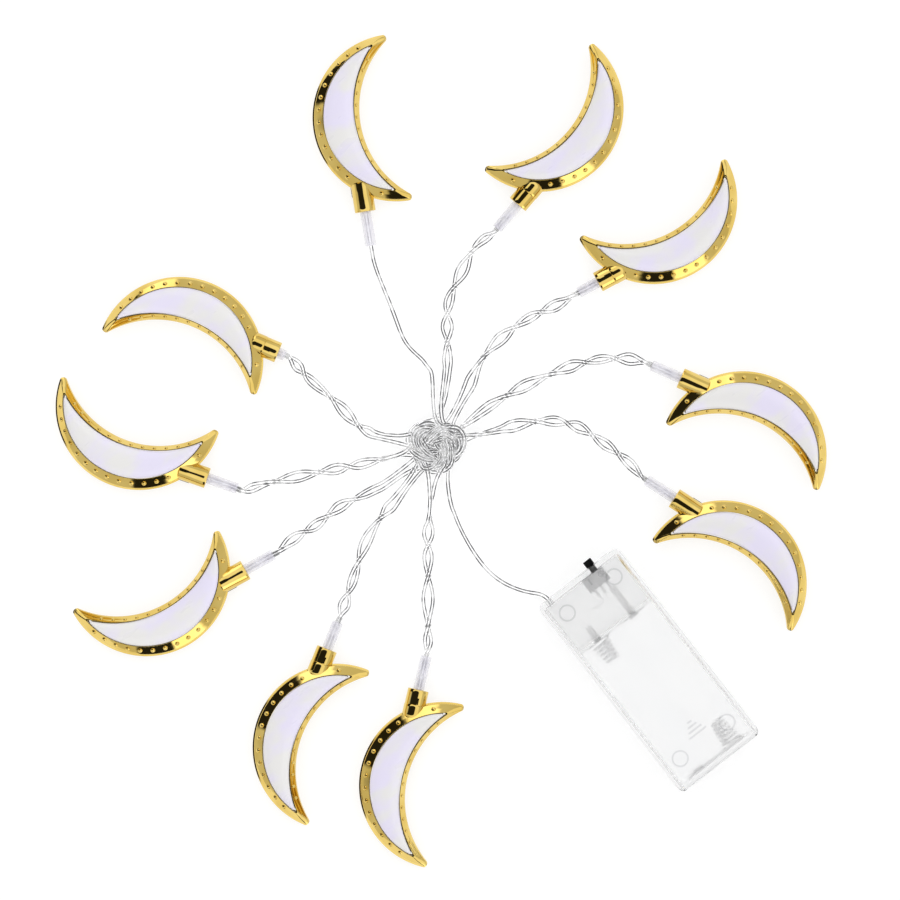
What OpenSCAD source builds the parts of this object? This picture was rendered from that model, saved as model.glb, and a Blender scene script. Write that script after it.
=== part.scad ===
// Moon string lights: ten gilt crescent lamps on a two-wire cord that is gathered in a knot,
// with a clear battery box for two AA cells. Millimetres, +Z up, everything lies on z = 0.
// The origin is the middle of the battery box's underside, +Y points to its switch end.

/* [Crescent lamp] */
// Distance between the points where the crescent's two arcs meet
lamp_span = 58.2; // [50:0.1:66]
// Height of the outer arc above the line between those points
outer_rise = 33; // [29:0.1:35]
// Height of the inner arc above the line between those points
inner_rise = 16.3; // [14:0.1:17]
// Thickness of the gilt frame, both halves together
frame_t = 9; // [8:0.1:12]
// Height of one half's upright side wall
side_h = 2.2; // [1.8:0.1:2.4]
// Wall thickness of the frame
frame_wall = 1; // [0.8:0.1:1.2]
// How far the seam lip stands out of the side wall
lip_out = 0.6; // [0.3:0.1:0.8]
// Height of the seam lip on one half
lip_h = 0.6; // [0.4:0.1:1]
// Width of the outer arc's band, from the side wall to the window at the crescent's middle
outer_band = 3.3; // [3:0.1:3.6]
// Flat strip of that band beside the window
outer_land = 0.6; // [0.4:0.1:0.8]
// Width of the sloping band along the inner arc, at the crescent's middle
inner_band = 1.9; // [1.7:0.1:2.4]
// Height cut off each tip
tip_cut = 2.7; // [2:0.1:3.2]

/* [Diffuser window] */
// How far the window lies off the frame's middle, away from the collar
window_aside = 0.5; // [0:0.1:0.6]
// How far the window lies nearer to the tips than the frame's arcs
window_drop = 0.9; // [0.5:0.1:1]
// Thickness of the window's seating flange
flange_t = 1.2; // [1:0.1:1.3]
// How far the flange reaches under the frame
flange_w = 0.4; // [0.2:0.1:0.5]
// Thickness of the frame's edge over the flange
edge_t = 1.2; // [1.1:0.1:1.3]
// Depth of the window's edge below the frame's edge
window_recess = 0.3; // [0.1:0.1:0.5]
// Height of the window's crown above its edge
crown_h = 0.8; // [0.5:0.1:1.2]
// Width of the crown's sloping border
crown_run = 3.6; // [2.5:0.1:4.4]

/* [Collar, LED and sleeve] */
// Outer diameter of the collar
collar_d = 7.4; // [6.6:0.1:7.6]
// Length of the collar, which ends inside the frame's wall
collar_len = 10.4; // [9.6:0.1:11]
// Distance of the collar's axis from the line where the arcs meet
collar_rise = 19.6; // [18.5:0.1:20.5]
// How far the collar's mouth stands past the point where the arcs meet
collar_past_tip = 1.7; // [1:0.1:2.6]
// Diameter of the LED
led_d = 3; // [2.6:0.1:3.2]
// Length of the LED
led_len = 5.4; // [4.5:0.1:6.5]
// Thickness of an LED leg
leg_d = 0.5; // [0.4:0.05:0.6]
// Distance between the LED's legs
leg_pitch = 1.27; // [1:0.01:1.4]
// Length of the LED's legs
leg_len = 4.5; // [3:0.1:5]
// Outer diameter of the clear sleeve
sleeve_d = 3.8; // [3.4:0.1:4.2]
// Bore of the clear sleeve
sleeve_bore = 2.4; // [2:0.1:2.6]
// Depth of the sleeve inside the collar
sleeve_in = 3.5; // [2.5:0.1:4.5]

/* [Cord] */
// Diameter of two cords twisted together
tail_d = 4; // [3.6:0.1:4.2]
// Width of one two-wire cord
cord_d = 2.2; // [1.8:0.1:2.4]
// Diameter of a strand in the knot
knot_strand_d = 1.8; // [1.4:0.1:1.8]
// Strands that run side by side through the knot
knot_strands = 3; // [2:1:3]
// Radius of the strands round the middle of their bundle
knot_bundle_r = 1.36; // [1.32:0.02:1.4]
// Radius of the knot's ring
knot_ring_r = 6; // [5.8:0.1:6.6]
// Swing of the bundle in, out, up and down about that ring
knot_swing = 2.7; // [2.6:0.1:2.9]

/* [Battery box] */
// Width of the box
box_w = 34.6; // [34:0.1:40]
// Length of the box
box_l = 81.5; // [79:0.5:95]
// Height of the box
box_h = 19; // [18:0.1:24]
// Radius of the upright corners
box_corner_r = 2; // [1:0.1:3]
// Wall thickness
box_wall = 2; // [1.6:0.1:2.4]
// Floor thickness
box_floor = 1.4; // [1.2:0.1:2]
// Length of the switch bay with its two walls
switch_bay_l = 22; // [20:0.1:26]
// Height of the rib between the cells
cell_rib_h = 4; // [2:0.1:7]
// Thickness of the rib between the cells
cell_rib_t = 1.2; // [0.8:0.1:1.6]
// Thickness of the sliding cover and of the switch bay's lid
cover_t = 1.6; // [1.4:0.1:2.2]
// How far the cover's edge reaches into the side wall
dovetail_in = 0.8; // [0.5:0.1:1]
// Slope of the cover's edge, measured across the cover
dovetail_run = 1; // [0.6:0.1:1.2]
// Free play of the cover and the lid
cover_play = 0.2; // [0.1:0.05:0.3]
// Height of the grip ribs and moulded rings
relief_h = 0.4; // [0.2:0.1:0.8]
// Diameter of a moulded ring
ring_d = 6; // [4:0.1:8]
// Distance of the rings from the middle line
ring_x = 10.3; // [7:0.1:11]

/* [Switch] */
// Place of the knob across the box, in the off position
knob_x = 6.2; // [3:0.1:9]
// Height of the switch above the table
switch_z = 10; // [8:0.1:12]
// Width of the knob
knob_w = 3.2; // [2.6:0.1:4]
// How far the knob stands out
knob_out = 2.4; // [1.5:0.1:4]
// Travel of the knob
knob_travel = 3; // [2:0.1:3.4]
// Play of the stem in its slots
stem_play = 0.3; // [0.2:0.05:0.4]
// Width of the switch's housing
switch_w = 8.8; // [8.6:0.1:11]
// Depth of the switch's housing
switch_depth = 5.4; // [4.8:0.1:7]
// Height of the switch's housing
switch_h = 5; // [4.4:0.1:6]

/* [Contacts] */
// Distance of the cells' axes from the middle line
cell_x = 7.6; // [7.2:0.1:8.2]
// Width of a contact plate
plate_w = 9; // [7:0.1:11]
// Height of a contact plate
plate_h = 10; // [8:0.1:12]
// Thickness of the contact metal
plate_t = 0.4; // [0.3:0.05:0.6]
// Wire of the contact springs
spring_wire = 0.8; // [0.6:0.05:0.9]
// Radius of a spring's first curl
spring_base_r = 3.4; // [3:0.1:4]
// Radius of a spring's last curl
spring_tip_r = 2.3; // [2:0.1:2.8]
// Rise of a spring for each curl
spring_pitch = 1.5; // [1.4:0.05:1.8]
// Curls of the spring at the switch bay
near_curls = 5; // [3:1:6]
// Curls of the spring at the far end
far_curls = 6; // [3:1:7]
// Diameter of the wires inside the box
wire_d = 0.9; // [0.7:0.05:1]
// Diameter of the hole for the cord
cord_hole_d = 2.6; // [2.5:0.1:3.4]
// Distance of the cord's hole from the side of the box
cord_hole_in = 4.3; // [3.6:0.1:6]
// Height of the cord's hole above the table
cord_hole_z = 5; // [3.5:0.1:7]

/* [Hidden] */
$fn = 96;
eps = 0.05;
snug = 0.1;
gilt = [0.85, 0.66, 0.22];
milky = [0.93, 0.91, 0.95];
clear_pvc = [0.88, 0.89, 0.92];
clear_box = [0.86, 0.89, 0.91, 0.45];
steel = [0.72, 0.73, 0.75];
black = [0.06, 0.06, 0.07];

// Circles of the crescent: each arc runs through the points where they meet
function arc_r(rise) = (rise * rise + lamp_span * lamp_span / 4) / (2 * rise);
outer_r = arc_r(outer_rise);
inner_r = arc_r(inner_rise);
outer_cy = outer_rise - outer_r;
inner_cy = inner_rise - inner_r;
side_r = outer_r - lip_out;
half_t = frame_t / 2;
window_out_r = side_r - outer_band + window_drop;
window_in_r = inner_r + inner_band + window_drop;
seat_top = half_t - edge_t;
seat_bottom = seat_top - flange_t;
window_edge = half_t - window_recess;
// A lamp lies on the crown of its lower window
lamp_mid_z = window_edge + crown_h;

// Lamps: mouth of the collar [x, y], heading of the lamp from there, front face up, sleeve that shows
lamps = [
    [19.9, 187, 61.4, true, 12],
    [63.5, 156.4, 11.8, false, 11],
    [69, 117.7, -9.4, false, 7.5],
    [-34.4, 166.7, 119.4, false, 2.5],
    [-80.9, 147.2, 123, true, 11],
    [-90, 113.7, 171.1, true, 11],
    [-84.4, 74.4, -149.8, false, 10],
    [-67.9, 43.5, -141, false, 12],
    [43.9, 41.7, -70.9, true, 11.5],
    [71.4, 73.5, -61.5, true, 11]
];
// Routes of the tails from just past the end of their sleeve to the knot
tail_routes = [
    [[11, 170, 2.5], [8, 160, 1.2], [5, 150, 1.2], [3, 141, 1.2], [4, 132, 1.2], [2, 124, 2], [-8.5, 115, 4]],
    [[44, 154, 3.4], [34, 150, 2.1], [24, 144.5, 2.1], [15.5, 134.5, 2.1], [6, 122.5, 3.2], [-5, 113, 6.5]],
    [[54, 120, 3.4], [43, 122.5, 2.1], [31, 123, 2.1], [20, 121, 2.1], [8.5, 115, 2.2], [-3, 109.5, 3]],
    [[-32, 158, 3.4], [-31, 150, 2.1], [-29, 140, 2.1], [-28, 130, 2.1], [-24, 121, 3.2], [-16, 113.5, 6.5]],
    [[-68, 134, 3.4], [-57, 129, 2.1], [-46, 123.5, 2.1], [-35, 118, 2.1], [-26, 114, 2.2], [-18.5, 110.5, 3]],
    [[-71, 112, 3.4], [-61, 111, 2.1], [-51, 111, 2.1], [-41, 109, 2.1], [-31, 107, 3.2], [-19.5, 107, 6.5]],
    [[-70, 83, 3.4], [-61, 89, 2.1], [-52, 95, 2.1], [-42, 99, 2.1], [-32, 101, 2.1], [-18.5, 103, 3]],
    [[-54, 56, 3.4], [-47, 65, 2.1], [-40, 74, 2.1], [-33, 83, 2.1], [-26, 91, 3.2], [-16, 100, 6.5]],
    [[39, 61, 3.4], [36.5, 71, 2.1], [32, 83, 2.1], [22, 92.5, 2.1], [9, 98.5, 2.2], [-4, 102.5, 3]],
    [[60, 91, 3.4], [49, 98, 2.1], [36, 102.5, 2.1], [22, 105.5, 2.1], [9, 107, 3.2], [-2.5, 107, 6.5]]
];
// Route of the battery lead from the knot to the box
lead_route = [
    [-13, 98.5, 3], [-18, 91, 1.6], [-21, 82, 1.2], [-22.8, 73, 1.2],
    [-23.3, 63, 1.2], [-21.4, 54.5, 1.6], [-16.6, 46.8, 3.6]
];
// The last lamp hangs on one cord, the other tails are two cords twisted together
single_cord_lamp = 0;
tail_start = 2;
knot_at = [-11, 107];
knot_floor = 0.3;

// Box: inside faces, bays and heights
end_y = box_l / 2;
bay_far_y = box_wall - end_y;
partition_y1 = end_y - switch_bay_l + box_wall;
partition_y0 = partition_y1 - box_wall;
switch_bay_y = end_y - box_wall;
cover_z = box_h - cover_t;
inner_w = box_w - 2 * box_wall;
cord_hole_x = box_w / 2 - cord_hole_in;
contact_z = box_floor + (cover_z - box_floor) / 2;
lead_in = 1;
lead_end_y = switch_bay_y - lead_in;
lead_straight = 1.5;
wire_run = 3;
wire_bend = 1.4;
tab_w = 2.4;
tab_t = plate_t;
tab_play = 0.3;
minus_tab_end = partition_y1 + 4;
dimple_d = 4;
dimple_h = 0.8;
bridge_h = 4;

// Switch: the stem's slot is long enough for the whole travel
slot_x = knob_x - knob_travel / 2;
stem_w = 2.4;
stem_h = 2;
stem_in = 2.6;
knob_h = 3;
knob_gap = 0.15;
slot_w = stem_w + knob_travel + 2 * stem_play;
slot_h = stem_h + 2 * stem_play;
switch_y = switch_bay_y - switch_depth;
pin_pitch = 2.5;
pin_w = 0.9;
pin_t = 0.5;
pin_len = 3;
pin_end_y = switch_y - pin_len;

// Relief on the cover and the lid
grip_ribs = 4;
grip_w = 7.4;
grip_step = 1.6;
grip_t = 0.7;
grip_from_end = 13;
ring_t = 0.6;
ring_from_switch_end = 7.5;
ring_from_far_end = 10;

function two(i) = i < 9 ? str("0", i + 1) : str(i + 1);
function moon_node(i, piece) = str("moon_", two(i), "_", piece);
lamp_ids = [0 : len(lamps) - 1];

// Vectors
function unit(v) = v / norm(v);
function flat_unit(v) = unit([v[0], v[1], 0]);
function tangent(p, i) = unit(p[min(i + 1, len(p) - 1)] - p[max(i - 1, 0)]);
function square_to(n, t) = unit(n - (n * t) * t);

// Tube along a path: one ring of corners at each point, turned as little as possible from ring to ring
function ring_normals(p) = [
    for (i = 0, n = square_to(abs(tangent(p, 0)[2]) < 0.9 ? [0, 0, 1] : [1, 0, 0], tangent(p, 0));
         i < len(p);
         i = i + 1, n = i < len(p) ? square_to(n, tangent(p, i)) : n) n
];
function ring_corner(c, n, t, r, a) = c + r * (cos(a) * n + sin(a) * cross(t, n));

module tube(path, d, sides) {
    normals = ring_normals(path);
    last = len(path) - 1;
    corners = [
        for (i = [0 : last], k = [0 : sides - 1])
            ring_corner(path[i], normals[i], tangent(path, i), d / 2, (k + 0.5) * 360 / sides)
    ];
    side_faces = [
        for (i = [0 : last - 1], k = [0 : sides - 1], half = [0, 1])
            let (a = i * sides + k, b = i * sides + (k + 1) % sides)
            half == 0 ? [a, a + sides, b + sides] : [a, b + sides, b]
    ];
    first_cap = [for (k = [1 : sides - 2]) [0, k, k + 1]];
    last_cap = [for (k = [1 : sides - 2]) [last * sides, last * sides + k + 1, last * sides + k]];
    polyhedron(corners, concat(side_faces, first_cap, last_cap));
}

// Least gap of a wound tube to itself, between points more than skip places apart
function least_gap(p, d, skip) = min([
    for (i = [0 : len(p) - 1 - skip], j = [i + skip : 1 : len(p) - 1]) norm(p[i] - p[j])
]) - d;

// Crescents: an upright one between two heights, and one whose sides lean in towards its top
module crescent(out_r, in_r, z0, z1) {
    difference() {
        translate([0, outer_cy, z0]) cylinder(h = z1 - z0, r = out_r);
        translate([0, inner_cy, z0 - eps]) cylinder(h = z1 - z0 + 2 * eps, r = in_r);
    }
}

module leaning_crescent(out_r, in_r, out_run, in_run, z0, z1) {
    h = z1 - z0;
    over = in_run * eps / h;
    difference() {
        translate([0, outer_cy, z0]) cylinder(h = h, r1 = out_r, r2 = out_r - out_run);
        translate([0, inner_cy, z0])
            cylinder(h = h + eps, r1 = in_r, r2 = in_r + in_run + over);
    }
}

// Places a lamp's piece: its own origin is the middle of the line where the arcs meet, x along that line
module at_lamp(i) {
    place = lamps[i];
    translate([place[0], place[1], lamp_mid_z])
        rotate([place[3] ? 0 : 180, 0, place[2]])
            translate([lamp_span / 2 + collar_past_tip, -collar_rise, 0])
                children();
}

// Along the collar's axis from its mouth, x pointing into the lamp
module at_collar() {
    translate([-lamp_span / 2 - collar_past_tip, collar_rise, 0]) rotate([0, 90, 0]) children();
}

function lamp_heading(i) = [cos(lamps[i][2]), sin(lamps[i][2]), 0];
function collar_mouth(i) = [lamps[i][0], lamps[i][1], lamp_mid_z];
function sleeve_end(i) = collar_mouth(i) - lamps[i][4] * lamp_heading(i);

// One half of the gilt frame, upper side: side wall with its lip, and bands that lean in to the window
module frame_half() {
    difference() {
        union() {
            crescent(outer_r, inner_r, 0, lip_h);
            crescent(side_r, inner_r, 0, side_h);
            leaning_crescent(side_r, inner_r, outer_band - outer_land, inner_band, side_h, half_t);
        }
        for (side = [-1, 1])
            translate([side * lamp_span / 2 - frame_t / 2, -frame_t, -half_t])
                cube([frame_t, frame_t + tip_cut, frame_t]);
    }
}

module at_window() {
    translate([window_aside, -window_drop, 0]) children();
}

// Hollow of one half: the room inside, the window's seat and the opening over it
module frame_hollow() {
    crescent(side_r - frame_wall, inner_r + frame_wall, -eps, seat_bottom);
    at_window() {
        crescent(window_out_r + flange_w + snug, window_in_r - flange_w - snug, seat_bottom - eps, seat_top);
        crescent(window_out_r, window_in_r, seat_top - eps, half_t + eps);
    }
}

module front_shell(i) {
    color(gilt) at_lamp(i) difference() {
        union() {
            frame_half();
            at_collar() cylinder(h = collar_len, d = collar_d);
        }
        frame_hollow();
        mirror([0, 0, 1]) frame_hollow();
        at_collar() translate([0, 0, -eps]) cylinder(h = sleeve_in + eps, d = sleeve_d + 2 * snug);
        at_collar() cylinder(h = collar_len + led_len, d = led_d + 2 * snug);
    }
}

module back_shell(i) {
    color(gilt) at_lamp(i) difference() {
        mirror([0, 0, 1]) frame_half();
        mirror([0, 0, 1]) frame_hollow();
        at_collar() translate([0, 0, -eps]) cylinder(h = collar_len + eps, d = collar_d + 2 * snug);
    }
}

// Window: flange under the frame's edge, then a low crown that stands in the opening
module window() {
    crescent(window_out_r + flange_w, window_in_r - flange_w, seat_bottom, seat_top);
    crescent(window_out_r - snug, window_in_r + snug, seat_top - eps, window_edge);
    leaning_crescent(window_out_r - snug, window_in_r + snug, crown_run, crown_run, window_edge, lamp_mid_z);
}

module diffuser(i) {
    color(milky) at_lamp(i) at_window() {
        window();
        mirror([0, 0, 1]) window();
    }
}

module led(i) {
    at_lamp(i) at_collar() translate([0, 0, sleeve_in]) {
        cylinder(h = led_len - led_d / 2, d = led_d);
        translate([0, 0, led_len - led_d / 2]) sphere(d = led_d);
    }
}

module leds() {
    color(milky) for (i = lamp_ids) led(i);
}

module led_legs() {
    color(steel) for (i = lamp_ids, side = [-1, 1])
        at_lamp(i) at_collar() translate([0, side * leg_pitch / 2, sleeve_in - leg_len])
            cylinder(h = leg_len, d = leg_d);
}

module led_sleeves() {
    color(milky) for (i = lamp_ids) at_lamp(i) at_collar() difference() {
        translate([0, 0, -lamps[i][4]]) cylinder(h = lamps[i][4] + sleeve_in, d = sleeve_d);
        translate([0, 0, -lamps[i][4] - eps])
            cylinder(h = lamps[i][4] + sleeve_in + 2 * eps, d = sleeve_bore);
    }
}

function tail_width(i) = i == single_cord_lamp ? cord_d : tail_d;

// A tail leaves its sleeve straight before it takes its own way
module tail(i) {
    straight = sleeve_end(i) - tail_start * lamp_heading(i);
    color(clear_pvc) tube(concat([sleeve_end(i), straight], tail_routes[i]), tail_width(i), 8);
}

module battery_lead() {
    inside = [-cord_hole_x, lead_end_y, cord_hole_z];
    outside = [-cord_hole_x, end_y + lead_straight, cord_hole_z];
    color(clear_pvc) tube(concat(lead_route, [outside, inside]), cord_d, 8);
}

// Knot: an overhand knot's closed line, which a bundle of strands follows side by side. One tube runs
// round the line once for each strand and moves a place on in the bundle each time.
knot_loops = 2;
knot_lobes = 3;
knot_rings_a_loop = 24;
knot_rings = knot_rings_a_loop * knot_loops * knot_strands;
knot_gap_turn = 36;
knot_mid_z = knot_floor + knot_swing + knot_bundle_r + knot_strand_d / 2;
function knot_line(a) = let (r = knot_ring_r + knot_swing * cos(knot_lobes * a))
    [r * cos(knot_loops * a), r * sin(knot_loops * a), knot_swing * sin(knot_lobes * a)];
function knot_tangent(a) = unit(knot_line(a + 0.5) - knot_line(a - 0.5));
function knot_point(a) = let (
        t = knot_tangent(a),
        across = unit(cross(t, [0, 0, 1])),
        place = a / knot_strands
    ) [knot_at[0], knot_at[1], knot_mid_z] + knot_line(a)
        + knot_bundle_r * (cos(place) * across + sin(place) * cross(across, t));
knot_turn = 360 * knot_strands - knot_gap_turn;
function knot_winding(n) = [for (k = [0 : n]) knot_point(k * knot_turn / n)];
knot_first = knot_point(0) - knot_strand_d * unit(knot_point(1) - knot_point(0));
knot_last = knot_point(knot_turn) + knot_strand_d * unit(knot_point(knot_turn) - knot_point(knot_turn - 1));
echo(knot_gap = least_gap(knot_winding(3 * knot_rings), knot_strand_d, 9));

module cord_knot() {
    color(clear_pvc) tube(concat([knot_first], knot_winding(knot_rings), [knot_last]), knot_strand_d, 6);
}

// Battery box
module rounded_plan(w, l, r) {
    square([w - 2 * r, l], center = true);
    square([w, l - 2 * r], center = true);
    for (x = [-1, 1], y = [-1, 1]) translate([x * (w / 2 - r), y * (l / 2 - r)]) circle(r);
}

module bay(y0, y1) {
    translate([-inner_w / 2, y0, box_floor]) cube([inner_w, y1 - y0, box_h]);
}

// Dovetail across the box, wide at its foot, from one place along the box to another
module dovetail(y0, y1, play) {
    foot = inner_w / 2 + dovetail_in + play;
    head = foot - dovetail_run;
    translate([0, y1, cover_z - play / 2]) rotate([90, 0, 0]) linear_extrude(y1 - y0)
        polygon([[-foot, 0], [foot, 0], [head, cover_t + play], [-head, cover_t + play]]);
}

module battery_case() {
    color(clear_box) difference() {
        union() {
            difference() {
                linear_extrude(box_h) rounded_plan(box_w, box_l, box_corner_r);
                bay(bay_far_y, partition_y0);
                bay(partition_y1, switch_bay_y);
                dovetail(-end_y - 1, switch_bay_y, cover_play);
            }
            translate([-cell_rib_t / 2, bay_far_y - eps, box_floor - eps])
                cube([cell_rib_t, partition_y0 - bay_far_y + 2 * eps, cell_rib_h + eps]);
            switch_shelf();
        }
        translate([slot_x - slot_w / 2, switch_bay_y - eps, switch_z - slot_h / 2])
            cube([slot_w, box_wall + 2 * eps, slot_h]);
        translate([-cord_hole_x, switch_bay_y - eps, cord_hole_z])
            rotate([-90, 0, 0]) cylinder(h = box_wall + 2 * eps, d = cord_hole_d);
        for (x = [-cell_x, cell_x])
            translate([x - tab_w / 2 - tab_play, partition_y0 - eps, contact_z - tab_t / 2 - tab_play])
                cube([tab_w + 2 * tab_play, box_wall + 2 * eps, tab_t + 2 * tab_play]);
    }
}

// Ledge under the switch's housing
module switch_shelf() {
    top = switch_z - switch_h / 2;
    translate([slot_x - switch_w / 2, switch_y, box_floor - eps])
        cube([switch_w, switch_depth + eps, top - box_floor + eps]);
}

module moulded_ring(x, y) {
    translate([x, y, box_h - eps]) difference() {
        cylinder(h = relief_h + eps, d = ring_d);
        translate([0, 0, -eps]) cylinder(h = relief_h + 3 * eps, d = ring_d - 2 * ring_t);
    }
}

module switch_bay_lid() {
    color(clear_box) {
        dovetail(partition_y0 + box_wall / 2 + cover_play, switch_bay_y - cover_play, 0);
        for (x = [-ring_x, ring_x]) moulded_ring(x, end_y - ring_from_switch_end);
    }
}

module battery_cover() {
    color(clear_box) {
        dovetail(-end_y, partition_y0 + box_wall / 2, 0);
        for (x = [-ring_x, ring_x]) moulded_ring(x, ring_from_far_end - end_y);
        for (k = [0 : grip_ribs - 1]) {
            w = grip_w * (grip_ribs - k) / grip_ribs;
            translate([-w / 2, grip_from_end - end_y + k * grip_step, box_h - eps])
                cube([w, grip_t, relief_h + eps]);
        }
    }
}

module switch_housing() {
    color(steel) difference() {
        translate([slot_x - switch_w / 2, switch_y, switch_z - switch_h / 2])
            cube([switch_w, switch_depth, switch_h]);
        translate([slot_x - slot_w / 2, switch_bay_y - stem_in - stem_play, switch_z - slot_h / 2])
            cube([slot_w, stem_in + stem_play + eps, slot_h]);
    }
}

module switch_terminals() {
    color(steel) for (k = [-1 : 1])
        translate([slot_x + k * pin_pitch - pin_w / 2, pin_end_y, switch_z - pin_t / 2])
            cube([pin_w, pin_len, pin_t]);
}

module switch_slider() {
    color(black) {
        translate([knob_x - stem_w / 2, switch_bay_y - stem_in, switch_z - stem_h / 2])
            cube([stem_w, stem_in + box_wall + knob_gap + eps, stem_h]);
        translate([knob_x - knob_w / 2, end_y + knob_gap, switch_z - knob_h / 2])
            cube([knob_w, knob_out, knob_h]);
    }
}

// Contacts: plates against the partition and the far wall, with conical springs for the cells' minus ends
module contact_plate(x, y) {
    translate([x - plate_w / 2, y, contact_z - plate_h / 2]) cube([plate_w, plate_t, plate_h]);
}

module contact_tab(x, y1) {
    translate([x - tab_w / 2, partition_y0 - eps, contact_z - tab_t / 2])
        cube([tab_w, y1 - partition_y0 + eps, tab_t]);
}

module minus_plate() {
    color(steel) {
        contact_plate(-cell_x, partition_y0 - plate_t);
        contact_tab(-cell_x, minus_tab_end);
    }
}

module plus_strip() {
    color(steel) {
        contact_plate(cell_x, partition_y0 - plate_t);
        contact_tab(cell_x, pin_end_y);
        translate([cell_x, partition_y0 - plate_t + eps, contact_z])
            rotate([90, 0, 0]) cylinder(h = dimple_h + eps, d = dimple_d);
    }
}

module bridge_strip() {
    color(steel) {
        contact_plate(-cell_x, bay_far_y);
        contact_plate(cell_x, bay_far_y);
        translate([-cell_x, bay_far_y, contact_z - bridge_h / 2]) cube([2 * cell_x, plate_t, bridge_h]);
        translate([-cell_x, bay_far_y + plate_t - eps, contact_z])
            rotate([-90, 0, 0]) cylinder(h = dimple_h + eps, d = dimple_d);
    }
}

// Spring from a plate at y0 towards the cell, way is the cell's side along y
spring_rings_a_curl = 8;
function spring_curl(curls, u) = let (r = spring_base_r + (spring_tip_r - spring_base_r) * u)
    [r * cos(360 * curls * u), spring_wire + spring_pitch * curls * u, r * sin(360 * curls * u)];
function spring_path(curls, n) =
    concat([[spring_base_r, 0, 0]], [for (k = [0 : n]) spring_curl(curls, k / n)]);
function spring_at(p, x, y0, way) = [for (q = p) [x + q[0], y0 + way * q[1], contact_z + q[2]]];
echo(near_spring_gap = least_gap(spring_path(near_curls, 24 * near_curls), spring_wire, 8));
echo(far_spring_gap = least_gap(spring_path(far_curls, 24 * far_curls), spring_wire, 8));

module contact_spring(curls, x, y0, way) {
    color(steel) tube(spring_at(spring_path(curls, spring_rings_a_curl * curls), x, y0, way), spring_wire, 6);
}

module minus_spring() {
    contact_spring(near_curls, -cell_x, partition_y0 - plate_t, -1);
}

module bridge_spring() {
    contact_spring(far_curls, cell_x, bay_far_y + plate_t, 1);
}

// Wires from the lead's end to the minus tab and to the switch
module inner_wires() {
    wire_x = wire_d / 2 + snug / 2;
    pin_x = slot_x - pin_pitch;
    minus_wire = [
        [-cord_hole_x - wire_x, lead_end_y, cord_hole_z],
        [-cord_hole_x - wire_x, lead_end_y - wire_run, cord_hole_z],
        [-cord_hole_x, (lead_end_y + minus_tab_end) / 2, (cord_hole_z + contact_z) / 2],
        [-cell_x - wire_bend, minus_tab_end + wire_run, contact_z],
        [-cell_x, minus_tab_end + wire_d, contact_z],
        [-cell_x, minus_tab_end, contact_z]
    ];
    switch_wire = [
        [-cord_hole_x + wire_x, lead_end_y, cord_hole_z],
        [-cord_hole_x + wire_x, lead_end_y - wire_bend, cord_hole_z],
        [(pin_x - 2 * cord_hole_x) / 3, lead_end_y - wire_run, cord_hole_z],
        [(2 * pin_x - cord_hole_x) / 3, pin_end_y - wire_bend, (cord_hole_z + switch_z) / 2],
        [pin_x, pin_end_y - 2 * wire_d, switch_z],
        [pin_x, pin_end_y, switch_z]
    ];
    color(clear_pvc) {
        tube(minus_wire, wire_d, 8);
        tube(switch_wire, wire_d, 8);
    }
}

for (i = lamp_ids) {
    front_shell(i);
    back_shell(i);
    diffuser(i);
    tail(i);
}
leds();
led_legs();
led_sleeves();
battery_lead();
cord_knot();
battery_case();
switch_bay_lid();
battery_cover();
switch_housing();
switch_terminals();
switch_slider();
minus_plate();
minus_spring();
plus_strip();
bridge_strip();
bridge_spring();
inner_wires();
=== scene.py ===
import math

import bmesh
import bpy
import numpy as np
from mathutils import Matrix, Vector


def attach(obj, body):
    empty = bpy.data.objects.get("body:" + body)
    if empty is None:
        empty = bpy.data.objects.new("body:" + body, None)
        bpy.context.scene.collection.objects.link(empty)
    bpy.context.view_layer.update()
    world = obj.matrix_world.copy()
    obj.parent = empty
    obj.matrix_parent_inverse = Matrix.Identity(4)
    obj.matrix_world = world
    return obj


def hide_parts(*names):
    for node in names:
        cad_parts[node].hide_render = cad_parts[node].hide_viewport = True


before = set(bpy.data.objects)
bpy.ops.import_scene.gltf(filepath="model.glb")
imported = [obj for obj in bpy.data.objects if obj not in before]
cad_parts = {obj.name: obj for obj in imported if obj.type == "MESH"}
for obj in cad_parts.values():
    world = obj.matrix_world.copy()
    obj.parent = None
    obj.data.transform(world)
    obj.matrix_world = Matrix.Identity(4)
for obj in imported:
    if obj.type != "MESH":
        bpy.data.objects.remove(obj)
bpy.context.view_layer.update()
scene = bpy.context.scene
mm = 0.001

# View: a long lens straight above the middle of the layout, turned so that the battery box lies at the
# lower right. The view is as wide as the laid-out string at the height of the lamps' middle.
view_middle = Vector((-7.8, 103.0, 5.0)) * mm
view_width = 315 * mm
view_distance = 2.0
view_turn = math.radians(-37.8)

lens = bpy.data.cameras.new("camera")
lens.lens = lens.sensor_width * view_distance / view_width
camera = bpy.data.objects.new("camera", lens)
camera.location = view_middle + Vector((0, 0, view_distance))
camera.rotation_euler = (0, 0, view_turn)
scene.collection.objects.link(camera)
scene.camera = camera

# Cord: two clear PVC wires side by side, each with a tinned core. A lead from the box and nine links go
# from lamp to lamp, each lamp's two cords twisted loosely, all tied in one knot. Places are the part's own,
# in millimetres, and the cord's diameter is that of a round cord of the same section.

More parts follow.
